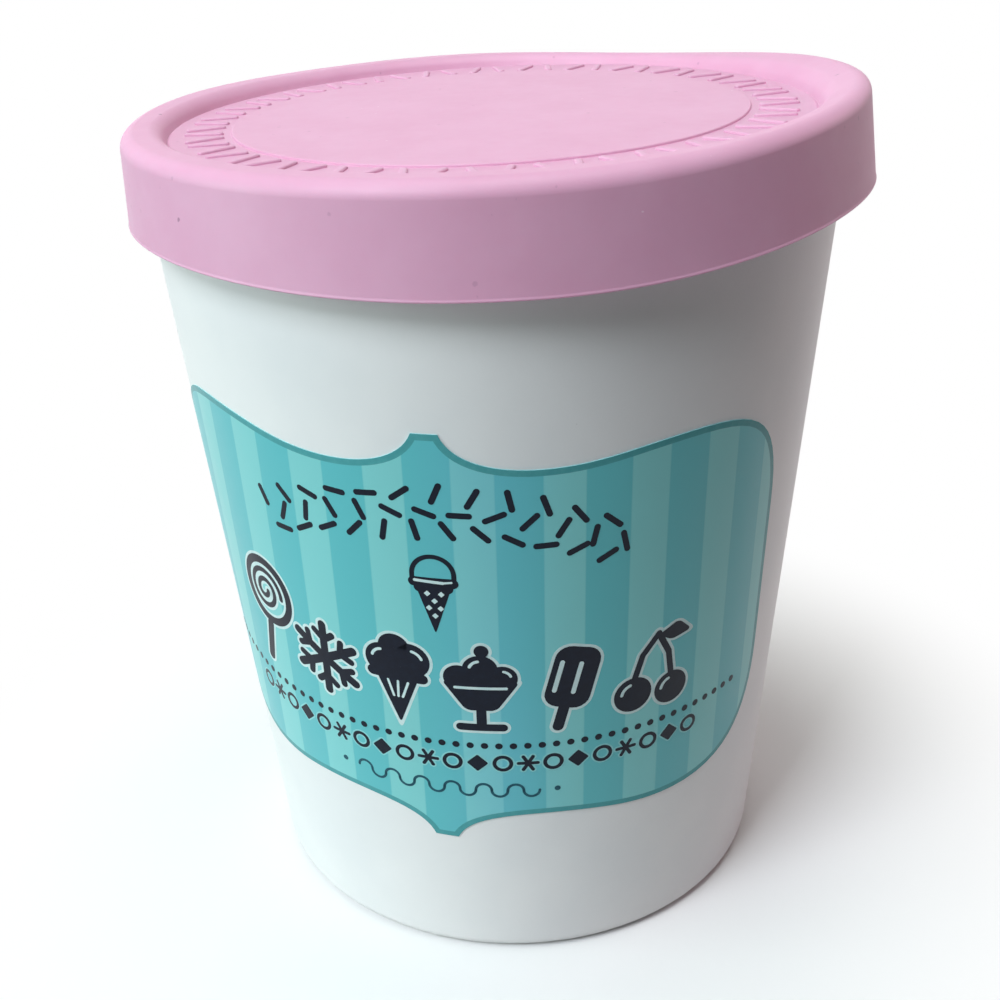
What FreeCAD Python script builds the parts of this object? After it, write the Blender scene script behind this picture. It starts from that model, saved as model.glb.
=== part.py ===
import FreeCAD, Part
import math
import os
import Sketcher

# A shut one-quart ice cream tub: a tapered plastic tub, a soft press-on lid and a film label.
# Millimetres, +Z up, origin at the centre of the base, the label's middle facing about -Y.

DIMENSIONS = (
    ("tub_height", 134.3, "height of the tub's top, under the lid"),
    ("base_radius", 46.5, "radius of the tub's base, before its rounding"),
    ("rim_radius", 57.0, "outer radius at the tub's top"),
    ("base_rounding", 2.5, "rounding round the tub's base"),
    ("disc_radius", 41.85, "radius of the raised disc in the lid's middle"),
    ("disc_top", 136.9, "height of the raised disc's face"),
    ("floor_radius", 52.2, "radius of the lid's sunken floor"),
    ("floor_top", 136.5, "height of the lid's sunken floor"),
    ("crest_inner", 53.1, "inner radius of the lid's raised band"),
    ("crest_outer", 59.3, "outer radius of the lid's raised band"),
    ("crest_top", 138.6, "height of the whole tub with its lid"),
    ("crest_inner_rounding", 1.6, "rounding of the band's inner edge"),
    ("crest_outer_rounding", 2.5, "rounding of the band's outer edge"),
    ("skirt_radius", 60.6, "outer radius of the lid's skirt at its foot"),
    ("skirt_foot", 123.2, "height of the skirt's foot"),
    ("skirt_foot_rounding", 0.9, "rounding of the skirt's foot"),
    ("groove_outer", 58.0, "outer radius of the gap under the skirt"),
    ("groove_top", 131.0, "height of the top of that gap"),
    ("mark_inner", 43.1, "inner radius of the ring of raised bars"),
    ("mark_outer", 49.2, "outer radius of the ring of raised bars"),
    ("mark_width", 1.2, "width of one bar"),
    ("mark_height", 0.4, "height of one bar above the sunken floor"),
    ("mark_near", 1.6, "inner end of a bar, sideways from the middle of its pair"),
    ("mark_far", 3.6, "outer end of a bar, sideways from the middle of its pair"),
    ("mark_pairs", 30, "number of pairs of bars round the ring"),
    ("film_thickness", 0.15, "thickness of the label"),
    ("label_middle", 64.7, "height of the label's middle"),
    ("label_turn", -12.6, "degrees that the label's middle is turned from -Y"),
    ("label_tilt", -1.7, "degrees that the label leans on the tub"),
    ("label_half_width", 60.35, "half the label's width, laid flat"),
    ("label_half_height", 38.05, "half the label's height at its notches, laid flat"),
    ("notch_half_width", 1.95, "half the width of a notch's flat tip"),
    ("notch_bend_across", 3.4, "from the middle to where a notch's side bends"),
    ("notch_bend_height", 34.4, "half the label's height at that bend"),
    ("notch_foot_across", 8.0, "from the middle to where a notch's side levels out"),
    ("valley_across", 16.5, "from the middle to the label's narrow place"),
    ("valley_height", 32.3, "half the label's height there"),
    ("hump_across", 39.0, "from the middle to the label's wide place"),
    ("hump_height", 34.0, "half the label's height there"),
    ("corner_across", 54.0, "from the middle to where the label's corner bends down"),
    ("corner_height", 28.0, "half the label's height where its corner meets the side's line"),
    ("side_half_height", 14.0, "half the length of the label's straight side"),
)

MATCH = 0.01
CURVE_STEPS = 9
WAVE_PULL = 0.4
PRISM_DEPTH = 80.0


def make_sheet(doc):
    """Writes the driving dimensions, one alias to a row."""
    sheet = doc.addObject("Spreadsheet::Sheet", "Dimensions")
    for row, (alias, value, meaning) in enumerate(DIMENSIONS, start=1):
        sheet.set(f"A{row}", meaning)
        sheet.set(f"B{row}", str(value))
        sheet.setAlias(f"B{row}", alias)
    doc.recompute()
    return sheet


def origin_plane(body, role):
    """Finds one of a body's own origin planes."""
    return next(item for item in body.Origin.OriginFeatures if item.Role == role)


def new_sketch(body, name, role):
    """Starts a sketch on one of a body's own origin planes."""
    sketch = body.newObject("Sketcher::SketchObject", name)
    sketch.AttachmentSupport = (origin_plane(body, role), [""])
    sketch.MapMode = "FlatFace"
    return sketch


def hold(sketch, kind, line, value, expression):
    """Binds one coordinate of a line's first point to the sheet."""
    if value == 0:
        axis = -2 if kind == "DistanceX" else -1
        sketch.addConstraint(Sketcher.Constraint("PointOnObject", line, 1, axis))
        return
    if value > 0:
        ends = (-1, 1, line, 1)
    else:
        ends = (line, 1, -1, 1)
        expression = f"-({expression})"
    index = sketch.addConstraint(Sketcher.Constraint(kind, *ends, abs(value)))
    sketch.setExpression(f"Constraints[{index}]", expression)


def draw_outline(sketch, sheet, corners):
    """Draws a closed outline whose corners are pairs of expressions."""
    places = [[sheet_value(sheet, text) for text in corner] for corner in corners]
    points = [FreeCAD.Vector(across, up, 0) for across, up in places]
    first = sketch.GeometryCount
    count = len(points)
    for index, point in enumerate(points):
        sketch.addGeometry(Part.LineSegment(point, points[(index + 1) % count]), False)
    for index in range(count):
        following = first + (index + 1) % count
        sketch.addConstraint(Sketcher.Constraint("Coincident", first + index, 2, following, 1))
    for index, corner in enumerate(corners):
        hold(sketch, "DistanceX", first + index, places[index][0], corner[0])
        hold(sketch, "DistanceY", first + index, places[index][1], corner[1])


def sheet_value(sheet, expression):
    """Works out an expression of the sheet's aliases."""
    return float(sheet.evalExpression(expression.replace("Dimensions.", "")))


def named(*aliases):
    """Turns aliases into expressions that sketches and features can use."""
    return tuple("0" if alias == "0" else f"Dimensions.{alias}" for alias in aliases)


def revolve(body, sketch, name):
    """Turns a profile once round the upright axis."""
    turned = body.newObject("PartDesign::Revolution", name)
    turned.Profile = sketch
    turned.ReferenceAxis = (sketch, ["V_Axis"])
    turned.Angle = 360
    return turned


def rounding(doc, body, base, name, sheet, radius, height, size):
    """Rounds the circular edge that has the given radius and height."""
    doc.recompute()
    edges = [
        f"Edge{index}"
        for index, edge in enumerate(base.Shape.Edges, start=1)
        if isinstance(edge.Curve, Part.Circle)
        and abs(edge.Curve.Radius - sheet.get(radius)) < MATCH
        and abs(edge.Curve.Center.z - height) < MATCH
    ]
    if not edges:
        raise RuntimeError(f"no edge to round for {name}")
    fillet = body.newObject("PartDesign::Fillet", name)
    fillet.Base = (base, edges)
    fillet.setExpression("Radius", f"Dimensions.{size}")
    return fillet


def wall_radius(height):
    """Gives the expression of the tub's outer radius at a height."""
    slope = "(Dimensions.rim_radius - Dimensions.base_radius) / Dimensions.tub_height"
    return f"Dimensions.base_radius + {slope} * ({height})"


def build_tub(doc, sheet):
    """Makes the tapered tub, which is shut and therefore solid."""
    body = doc.addObject("PartDesign::Body", "Tub")
    body.Label = "tub"
    sketch = new_sketch(body, "TubProfile", "XZ_Plane")
    draw_outline(
        sketch,
        sheet,
        [
            named("0", "0"),
            named("base_radius", "0"),
            named("rim_radius", "tub_height"),
            named("0", "tub_height"),
        ],
    )
    turned = revolve(body, sketch, "TubTurned")
    rounding(doc, body, turned, "BaseRounding", sheet, "base_radius", 0, "base_rounding")
    return body


def build_lid(doc, sheet):
    """Makes the lid: raised band, sunken floor, middle disc, skirt and ring of bars."""
    body = doc.addObject("PartDesign::Body", "Lid")
    body.Label = "lid"
    sketch = new_sketch(body, "LidProfile", "XZ_Plane")
    draw_outline(
        sketch,
        sheet,
        [
            named("0", "disc_top"),
            named("disc_radius", "disc_top"),
            named("disc_radius", "floor_top"),
            named("floor_radius", "floor_top"),
            named("crest_inner", "crest_top"),
            named("crest_outer", "crest_top"),
            named("skirt_radius", "skirt_foot"),
            named("groove_outer", "skirt_foot"),
            named("groove_outer", "groove_top"),
            (wall_radius("Dimensions.groove_top"), "Dimensions.groove_top"),
            named("rim_radius", "tub_height"),
            named("0", "tub_height"),
        ],
    )
    shape = revolve(body, sketch, "LidTurned")
    crest = sheet.get("crest_top")
    foot = sheet.get("skirt_foot")
    for name, radius, height, size in (
        ("CrestInner", "crest_inner", crest, "crest_inner_rounding"),
        ("CrestOuter", "crest_outer", crest, "crest_outer_rounding"),
        ("SkirtFoot", "skirt_radius", foot, "skirt_foot_rounding"),
    ):
        shape = rounding(doc, body, shape, name, sheet, radius, height, size)
    doc.recompute()
    plain_volume = shape.Shape.Volume
    add_marks(doc, body, sheet)
    if body.Shape.Volume <= plain_volume:
        raise RuntimeError("the ring of raised bars added nothing to the lid")
    return body


def add_marks(doc, body, sheet):
    """Raises a ring of slanted bars in pairs on the lid's sunken floor."""
    sketch = new_sketch(body, "MarkPair", "XY_Plane")
    sketch.setExpression("AttachmentOffset.Base.z", "Dimensions.floor_top")
    half = "Dimensions.mark_width / 2"
    for side in ("", "-"):
        corners = []
        for radius, offset, turn in (
            ("mark_inner", "mark_near", "-"),
            ("mark_outer", "mark_far", "-"),
            ("mark_outer", "mark_far", "+"),
            ("mark_inner", "mark_near", "+"),
        ):
            sideways = f"{side}(Dimensions.{offset} {turn} {half})"
            corners.append((f"Dimensions.{radius}", sideways))
        draw_outline(sketch, sheet, corners)
    pad = body.newObject("PartDesign::Pad", "MarkPad")
    pad.Profile = sketch
    pad.setExpression("Length", "Dimensions.mark_height")
    doc.recompute()
    ring = body.newObject("PartDesign::PolarPattern", "MarkRing")
    ring.Originals = [pad]
    ring.Axis = (sketch, ["N_Axis"])
    ring.Angle = 360
    ring.setExpression("Occurrences", "Dimensions.mark_pairs")
    body.Tip = ring
    doc.recompute()


def bezier(controls, steps):
    """Gives points along a cubic curve, without its last one."""
    points = []
    for index in range(steps):
        along = index / steps
        left = 1 - along
        weights = (left**3, 3 * left**2 * along, 3 * left * along**2, along**3)
        across = sum(weight * point[0] for weight, point in zip(weights, controls))
        up = sum(weight * point[1] for weight, point in zip(weights, controls))
        points.append((across, up))
    return points


def label_quarter(sheet):
    """Gives the flat label's outline from its top notch round to its right side."""
    tip = (sheet.get("notch_half_width"), sheet.get("label_half_height"))
    bend = (sheet.get("notch_bend_across"), sheet.get("notch_bend_height"))
    valley = (sheet.get("valley_across"), sheet.get("valley_height"))
    foot = (sheet.get("notch_foot_across"), valley[1])
    hump = (sheet.get("hump_across"), sheet.get("hump_height"))
    reach = WAVE_PULL * (hump[0] - valley[0])
    leaving = (valley[0] + reach, valley[1])
    arriving = (hump[0] - reach, hump[1])
    side = (sheet.get("label_half_width"), sheet.get("side_half_height"))
    shoulder = (sheet.get("corner_across"), hump[1])
    corner = (side[0], sheet.get("corner_height"))
    points = []
    for curve in (
        (tip, bend, foot, valley),
        (valley, leaving, arriving, hump),
        (hump, shoulder, corner, side),
    ):
        points += bezier(curve, CURVE_STEPS)
    return points + [side]


def label_outline(sheet):
    """Mirrors the quarter into the whole flat outline, clockwise from the top notch."""
    right_top = label_quarter(sheet)
    right_bottom = [(across, -up) for across, up in reversed(right_top)]
    right = right_top + right_bottom
    return right + [(-across, up) for across, up in reversed(right)]


def wrap(sheet, point):
    """Puts a point of the flat label on the tub, seen square on from the label's front.

    The tub's wall is a cone, so the flat label rolls round it with no stretch: a point's
    distance from the cone's tip stays the same, and its angle there is opened out.
    """
    height = sheet.get("tub_height")
    slope = (sheet.get("rim_radius") - sheet.get("base_radius")) / height
    half_angle = math.atan(slope)
    middle_radius = sheet.get("base_radius") + slope * sheet.get("label_middle")
    lean = math.radians(sheet.get("label_tilt"))
    across = point[0] * math.cos(lean) - point[1] * math.sin(lean)
    up = point[0] * math.sin(lean) + point[1] * math.cos(lean)
    middle_distance = middle_radius / math.sin(half_angle)
    distance = math.hypot(across, middle_distance + up)
    turn = math.atan2(across, middle_distance + up) / math.sin(half_angle)
    radius = distance * math.sin(half_angle)
    rise = (distance - middle_distance) * math.cos(half_angle)
    return FreeCAD.Vector(radius * math.sin(turn), 0, sheet.get("label_middle") + rise)


def build_label(doc, sheet):
    """Makes the label: a thin conical sleeve, kept only inside the label's outline."""
    outline = [wrap(sheet, point) for point in label_outline(sheet)]
    face = Part.Face(Part.makePolygon(outline + outline[:1]))
    prism = doc.addObject("Part::Feature", "LabelPrism")
    prism.Shape = face.extrude(FreeCAD.Vector(0, -PRISM_DEPTH, 0))
    reach = "Dimensions.label_half_height + 2"
    low = f"(Dimensions.label_middle - ({reach}))"
    high = f"(Dimensions.label_middle + {reach})"
    slant = "(Dimensions.rim_radius - Dimensions.base_radius) / Dimensions.tub_height"
    film = f"Dimensions.film_thickness / cos(atan({slant}))"
    cones = []
    for name, extra in (("LabelOuter", film), ("LabelInner", "0")):
        cone = doc.addObject("Part::Cone", name)
        cone.setExpression("Radius1", f"{wall_radius(low)} + {extra}")
        cone.setExpression("Radius2", f"{wall_radius(high)} + {extra}")
        cone.setExpression("Height", f"{high} - {low}")
        cone.setExpression("Placement.Base.z", low)
        cones.append(cone)
    sleeve = doc.addObject("Part::Cut", "LabelSleeve")
    sleeve.Base, sleeve.Tool = cones
    label = doc.addObject("Part::Common", "LabelFilm")
    label.Base = sleeve
    label.Tool = prism
    label.Label = "label"
    turn = FreeCAD.Rotation(FreeCAD.Vector(0, 0, 1), sheet.get("label_turn"))
    label.Placement = FreeCAD.Placement(FreeCAD.Vector(), turn)
    doc.recompute()
    return label


def check(doc, parts):
    """Stops if any object failed or any sub-part has no sound shape."""
    for item in doc.Objects:
        if {"Invalid", "Error"} & set(item.State):
            raise RuntimeError(f"{item.Name} failed: {item.State}")
    for part in parts:
        if part.Shape.isNull() or not part.Shape.isValid():
            raise RuntimeError(f"{part.Label} has no valid shape")
        if len(part.Shape.Solids) != 1:
            raise RuntimeError(f"{part.Label} has {len(part.Shape.Solids)} solids")


def main():
    """Builds the document, checks it and writes one STEP file for each sub-part."""
    doc = FreeCAD.newDocument("IceCreamTub")
    sheet = make_sheet(doc)
    parts = [build_tub(doc, sheet), build_lid(doc, sheet), build_label(doc, sheet)]
    doc.recompute()
    check(doc, parts)
    os.makedirs("parts", exist_ok=True)
    for part in parts:
        part.Shape.exportStep(f"parts/{part.Label}.step")
        box = part.Shape.BoundBox
        print(part.Label, round(part.Shape.Volume), [round(v, 2) for v in (box.XMin, box.XMax)])
        print("   ", [round(v, 2) for v in (box.YMin, box.YMax, box.ZMin, box.ZMax)])


main()
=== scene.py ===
"""Looks of a shut ice cream tub: tapered cup, soft press-on lid and printed label.

Everything is in metres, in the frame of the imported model. Flat artwork is drawn in
millimetres on the label laid flat, and is then rolled round the tapered wall.
"""

import logging
import math
import random
from dataclasses import dataclass, field
from enum import Enum

import bmesh
import bpy
from mathutils import Matrix, Vector


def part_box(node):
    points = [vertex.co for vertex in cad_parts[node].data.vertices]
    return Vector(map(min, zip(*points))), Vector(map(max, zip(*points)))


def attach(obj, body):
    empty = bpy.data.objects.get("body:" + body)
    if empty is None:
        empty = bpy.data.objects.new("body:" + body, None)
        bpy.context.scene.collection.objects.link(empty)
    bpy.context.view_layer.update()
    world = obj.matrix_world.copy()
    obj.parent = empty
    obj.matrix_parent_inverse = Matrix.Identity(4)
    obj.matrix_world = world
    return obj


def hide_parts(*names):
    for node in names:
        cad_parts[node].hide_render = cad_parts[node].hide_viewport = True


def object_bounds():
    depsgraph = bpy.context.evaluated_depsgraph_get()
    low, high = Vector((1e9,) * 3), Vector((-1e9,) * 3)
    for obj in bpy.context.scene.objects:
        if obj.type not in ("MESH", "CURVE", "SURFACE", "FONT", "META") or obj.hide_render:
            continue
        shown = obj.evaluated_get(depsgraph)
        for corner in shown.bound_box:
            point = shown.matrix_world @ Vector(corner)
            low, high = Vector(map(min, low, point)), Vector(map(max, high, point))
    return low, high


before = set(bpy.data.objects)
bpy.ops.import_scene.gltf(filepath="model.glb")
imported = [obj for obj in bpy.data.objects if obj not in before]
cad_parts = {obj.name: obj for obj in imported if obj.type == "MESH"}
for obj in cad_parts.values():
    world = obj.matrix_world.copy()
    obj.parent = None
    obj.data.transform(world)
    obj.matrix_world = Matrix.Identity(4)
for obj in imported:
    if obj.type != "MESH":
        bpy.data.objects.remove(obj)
CAD_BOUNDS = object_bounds()

MM = 0.001
BODY = "root"
LOG = logging.getLogger("tub")

ORIGIN = (0.0, 0.0, 0.0)
UP = (0.0, 0.0, 1.0)
MERGE_GAP = 1e-7
TOUCH_GAP = 1e-6
CUT_GAP = 1e-4
SHARP_ANGLE = 32.0
FINE_ROUND = 32
COARSE_ROUND = 16
WHITE = (1.0, 1.0, 1.0, 1.0)
FLAT_LAYER = "flat"

Point = tuple[float, float]
Outline = list[Point]
Row = tuple[Point, ...]
Colour = tuple[float, float, float]


class Slot(Enum):
    """The record's material slots."""

    TUB = "tub_plastic"
    LID = "lid_silicone"
    LABEL = "label_film"


class Rounds(Enum):
    """What a bevel rounds."""

    EDGES = "EDGES"
    CORNERS = "VERTICES"


def from_codes(red: int, green: int, blue: int) -> Colour:
    """Turns a colour's display codes, 0 to 255, into the linear values that shaders use.

    Args:
        red: Red code.
        green: Green code.
        blue: Blue code.

    Returns:
        The linear colour.
    """

    def linear(code: int) -> float:
        """Undoes the display curve for one channel."""
        share = code / 255
        return share / 12.92 if share <= 0.04045 else ((share + 0.055) / 1.055) ** 2.4

    return linear(red), linear(green), linear(blue)


# ---------------------------------------------------------------- shader expressions


@dataclass(frozen=True)
class Noise:
    """Soft noise: the size of its blobs in metres, its finer layers and their strength."""

    size: float
    detail: float = 2.0
    rough: float = 0.5


@dataclass(frozen=True)
class Specks:
    """One kind of speck: its colour, its cells' size, its radius, its share and its cover.

    Lengths are in metres. The share is that of the cells that have a speck.
    """

    colour: Colour
    pitch: float
    radius: float
    share: float
    cover: float
    smallest: float = 0.3
    wobble: float = 1.4
    edge: tuple[float, float] = (0.7, 1.3)
    share_edge: float = 0.01


class Value:
    """A number's socket that takes part in Python arithmetic."""

    def __init__(self, board: "Board", socket: bpy.types.NodeSocket) -> None:
        """Keeps the socket and the board that its nodes are on."""
        self.board = board
        self.socket = socket

    def _math(self, operation: str, first: object, second: object = 0.0) -> "Value":
        """Adds one Math node."""
        return self.board.value("ShaderNodeMath", {"operation": operation}, {0: first, 1: second})

    def __add__(self, other: object) -> "Value":
        """Adds."""
        return self._math("ADD", self, other)

    def __radd__(self, other: object) -> "Value":
        """Adds, with the number first."""
        return self._math("ADD", other, self)

    def __sub__(self, other: object) -> "Value":
        """Takes away."""
        return self._math("SUBTRACT", self, other)

    def __rsub__(self, other: object) -> "Value":
        """Takes this away from a number."""
        return self._math("SUBTRACT", other, self)

    def __mul__(self, other: object) -> "Value":
        """Multiplies."""
        return self._math("MULTIPLY", self, other)

    def __rmul__(self, other: object) -> "Value":
        """Multiplies, with the number first."""
        return self._math("MULTIPLY", other, self)

    def __truediv__(self, other: object) -> "Value":
        """Divides."""
        return self._math("DIVIDE", self, other)

    def __abs__(self) -> "Value":
        """Drops the sign."""
        return self._math("ABSOLUTE", self)

    def part(self) -> "Value":
        """Keeps what is left after the whole number below."""
        return self._math("FRACT", self)

    def ramp(self, low: float, high: float) -> "Value":
        """Rises smoothly from 0 at low to 1 at high.

        Args:
            low: Where the rise starts.
            high: Where it ends.

        Returns:
            The smooth step.
        """
        settings = {"interpolation_type": "SMOOTHSTEP", "clamp": True}
        inputs = {"Value": self, "From Min": low, "From Max": high}
        return self.board.value("ShaderNodeMapRange", settings, inputs)


class Board:
    """One material's or world's node tree."""

    def __init__(self, tree: bpy.types.NodeTree) -> None:
        """Empties the tree."""
        self.tree = tree
        self.tree.nodes.clear()

    def node(self, kind: str, settings: dict, inputs: dict) -> bpy.types.Node:
        """Adds a node.

        Args:
            kind: The node's type name.
            settings: Properties, which are set first.
            inputs: Values or links of its sockets, by name or place.

        Returns:
            The node.
        """
        made = self.tree.nodes.new(kind)
        for name, setting in settings.items():
            setattr(made, name, setting)
        for name, given in inputs.items():
            if isinstance(given, Value):
                given = given.socket
            if isinstance(given, bpy.types.NodeSocket):
                self.tree.links.new(given, made.inputs[name])
            else:
                made.inputs[name].default_value = given
        return made

    def value(self, kind: str, settings: dict, inputs: dict) -> Value:
        """Adds a node and gives its first output as a value."""
        return Value(self, self.node(kind, settings, inputs).outputs[0])

    def place(self) -> bpy.types.NodeSocket:
        """Gives the piece's own coordinates, in metres."""
        return self.node("ShaderNodeTexCoord", {}, {}).outputs["Object"]

    def seen(self) -> Value:
        """Tells apart the rays that show the background: camera, glossy and see-through rays.

        Returns:
            1 on such a ray and 0 on any other.
        """
        rays = self.node("ShaderNodeLightPath", {}, {}).outputs
        names = ("Is Camera Ray", "Is Glossy Ray", "Is Transmission Ray")
        camera, glossy, through = (Value(self, rays[name]) for name in names)
        return camera + glossy + through

    def flat(self, layer: str) -> tuple[Value, Value]:
        """Gives the coordinates of the label laid flat.

        Args:
            layer: The name of the layer that holds them.

        Returns:
            Across and up, in millimetres.
        """
        source = self.node("ShaderNodeUVMap", {"uv_map": layer}, {}).outputs["UV"]
        parts = self.node("ShaderNodeSeparateXYZ", {}, {0: source})
        return Value(self, parts.outputs[0]), Value(self, parts.outputs[1])

    def noise(self, kind: Noise) -> Value:
        """Gives soft noise on the piece's own coordinates.

        Args:
            kind: Its size, its finer layers and their strength.

        Returns:
            The noise, about 0 to 1.
        """
        inputs = {
            "Vector": self.place(),
            "Scale": 1 / kind.size,
            "Detail": kind.detail,
            "Roughness": kind.rough,
        }
        return self.value("ShaderNodeTexNoise", {}, inputs)

    def uneven(self, kind: Noise, middle: float, swing: float) -> Value:
        """Gives a number that wavers by half the swing to either side of its middle."""
        return self.noise(kind) * swing + (middle - swing / 2)

    def specks(self, kind: Specks) -> Value:
        """Gives small uneven specks, each in its own cell.

        Args:
            kind: Their size, their spacing and their share.

        Returns:
            A mask that is 1 in a speck.
        """
        inputs = {"Vector": self.place(), "Scale": 0.5 / kind.radius, "Detail": 1.0}
        wobble = self.node("ShaderNodeTexNoise", {}, inputs).outputs["Color"]
        inputs = {0: wobble, "Scale": kind.wobble * kind.radius}
        shift = self.node("ShaderNodeVectorMath", {"operation": "SCALE"}, inputs).outputs[0]
        inputs = {0: self.place(), 1: shift}
        place = self.node("ShaderNodeVectorMath", {"operation": "ADD"}, inputs).outputs[0]
        settings = {"feature": "F1", "distance": "EUCLIDEAN"}
        inputs = {"Vector": place, "Scale": 1 / kind.pitch, "Randomness": 1.0}
        cells = self.node("ShaderNodeTexVoronoi", settings, inputs)
        near = Value(self, cells.outputs["Distance"])
        parts = self.node("ShaderNodeSeparateColor", {}, {0: cells.outputs["Color"]})
        chosen = Value(self, parts.outputs[0]).ramp(kind.share + kind.share_edge, kind.share)
        reach = kind.radius / kind.pitch
        size = Value(self, parts.outputs[1]) * reach + kind.smallest * reach
        return (1 - (near / size).ramp(*kind.edge)) * chosen

    def blend(self, mask: object, low: object, high: object) -> bpy.types.NodeSocket:
        """Mixes two colours.

        Args:
            mask: 0 for the first colour and 1 for the second.
            low: The first colour.
            high: The second colour.

        Returns:
            The mixed colour's socket.
        """
        settings = {"data_type": "RGBA", "blend_type": "MIX", "clamp_factor": True}
        inputs = {0: mask, 6: _four(low), 7: _four(high)}
        return self.node("ShaderNodeMix", settings, inputs).outputs[2]

    def mix(self, mask: Value, low: bpy.types.Node, high: bpy.types.Node) -> bpy.types.Node:
        """Mixes the shaders of two nodes by a mask."""
        return self.node("ShaderNodeMixShader", {}, {0: mask, 1: low.outputs[0], 2: high.outputs[0]})

    def bump(self, height: Value, distance: float) -> bpy.types.NodeSocket:
        """Turns a height, 0 to 1, into a tilted normal; distance is in metres."""
        inputs = {"Height": height, "Distance": distance, "Strength": 1.0}
        return self.node("ShaderNodeBump", {}, inputs).outputs["Normal"]

    def surface(self, inputs: dict) -> None:
        """Ends the tree with a Principled shader."""
        shader = self.node("ShaderNodeBsdfPrincipled", {}, inputs)
        self.node("ShaderNodeOutputMaterial", {}, {"Surface": shader.outputs[0]})


def _four(given: object) -> object:
    """Gives a plain colour its fourth number."""
    return (*given, 1.0) if isinstance(given, tuple) else given


def new_board(name: str) -> tuple[bpy.types.Material, Board]:
    """Starts a material.

    Args:
        name: The material's name.

    Returns:
        The material and its empty board.
    """
    material = bpy.data.materials.new(name)
    material.use_nodes = True
    return material, Board(material.node_tree)


# ---------------------------------------------------------------------------- finishes


@dataclass(frozen=True)
class MouldedSkin:
    """A moulded surface with clouding, specks, a fine grain, a slow wave and a soft glow."""

    name: str
    body: Colour
    cloud: Colour
    clouding: Noise
    cloud_edge: tuple[float, float]
    specks: tuple[Specks, ...]
    gloss: Noise
    roughness: float
    swing: float
    grain: Noise
    grain_share: float
    wave: Noise
    wave_share: float
    relief: float
    specular: float
    glow: float
    glow_colour: Colour
    glow_depth: float

    def make(self) -> bpy.types.Material:
        """Builds the material.

        Returns:
            The new material.
        """
        material, board = new_board(self.name)
        cloudy = board.noise(self.clouding).ramp(*self.cloud_edge)
        colour = board.blend(cloudy, self.body, self.cloud)
        for kind in self.specks:
            colour = board.blend(board.specks(kind) * kind.cover, colour, kind.colour)
        height = board.noise(self.grain) * self.grain_share + board.noise(self.wave) * self.wave_share
        board.surface(
            {
                "Base Color": colour,
                "Roughness": board.uneven(self.gloss, self.roughness, self.swing),
                "Normal": board.bump(height, self.relief),
                "Specular IOR Level": self.specular,
                "Subsurface Weight": self.glow,
                "Subsurface Radius": self.glow_colour,
                "Subsurface Scale": self.glow_depth,
            }
        )
        return material


@dataclass(frozen=True)
class StripedFilm:
    """The label's printed film: broad teal stripes, with a faint sky-blue band of painted reflection
    in its colour.
    """

    name: str = "striped_film"
    pale: Colour = from_codes(127, 209, 210)
    deep: Colour = from_codes(90, 190, 197)
    reflection_blue: Colour = from_codes(110, 196, 222)
    pitch: float = 13.14
    deep_half: float = 3.48
    soft_edge: float = 0.14
    reflection_middle: float = 9.0
    reflection_half: float = 15.0
    reflection_cover: float = 0.55
    painted_reflection: Noise = Noise(30 * MM)
    gloss: Noise = Noise(2.5 * MM)
    roughness: float = 0.33
    swing: float = 0.1
    wave: Noise = Noise(9 * MM, 1.0)
    relief: float = 0.03 * MM
    specular: float = 0.4

    def make(self) -> bpy.types.Material:
        """Builds the material.

        Returns:
            The new material.
        """
        material, board = new_board(self.name)
        across, _ = board.flat(FLAT_LAYER)
        from_deep = abs((across / self.pitch + 0.5).part() - 0.5) * self.pitch
        pale = from_deep.ramp(self.deep_half - self.soft_edge, self.deep_half + self.soft_edge)
        colour = board.blend(pale, self.deep, self.pale)
        # Painted reflection: a soft sky-blue band, mixed into the film's colour about one place
        # across, stands in for a gloss reflection.
        near_reflection = 1 - abs(across - self.reflection_middle).ramp(0.0, self.reflection_half)
        painted_reflection = near_reflection * board.noise(self.painted_reflection)
        colour = board.blend(painted_reflection * self.reflection_cover, colour, self.reflection_blue)
        board.surface(
            {
                "Base Color": colour,
                "Roughness": board.uneven(self.gloss, self.roughness, self.swing),
                "Normal": board.bump(board.noise(self.wave), self.relief),
                "Specular IOR Level": self.specular,
            }
        )
        return material


@dataclass(frozen=True)
class PrintedInk:
    """A plain ink with a satin gloss, a little uneven in its cover."""

    name: str
    body: Colour
    thin: Colour
    patches: Noise = Noise(1.2 * MM, 3.0, 0.6)
    patch_edge: tuple[float, float] = (0.35, 0.8)
    gloss: Noise = Noise(2.5 * MM)
    roughness: float = 0.31
    swing: float = 0.1
    grain: Noise = Noise(0.5 * MM)
    relief: float = 0.006 * MM
    specular: float = 0.16

    def make(self) -> bpy.types.Material:
        """Builds the material.

        Returns:
            The new material.
        """
        material, board = new_board(self.name)
        patchy = board.noise(self.patches).ramp(*self.patch_edge)
        board.surface(
            {
                "Base Color": board.blend(patchy, self.body, self.thin),
                "Roughness": board.uneven(self.gloss, self.roughness, self.swing),
                "Normal": board.bump(board.noise(self.grain), self.relief),
                "Specular IOR Level": self.specular,
            }
        )
        return material


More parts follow.
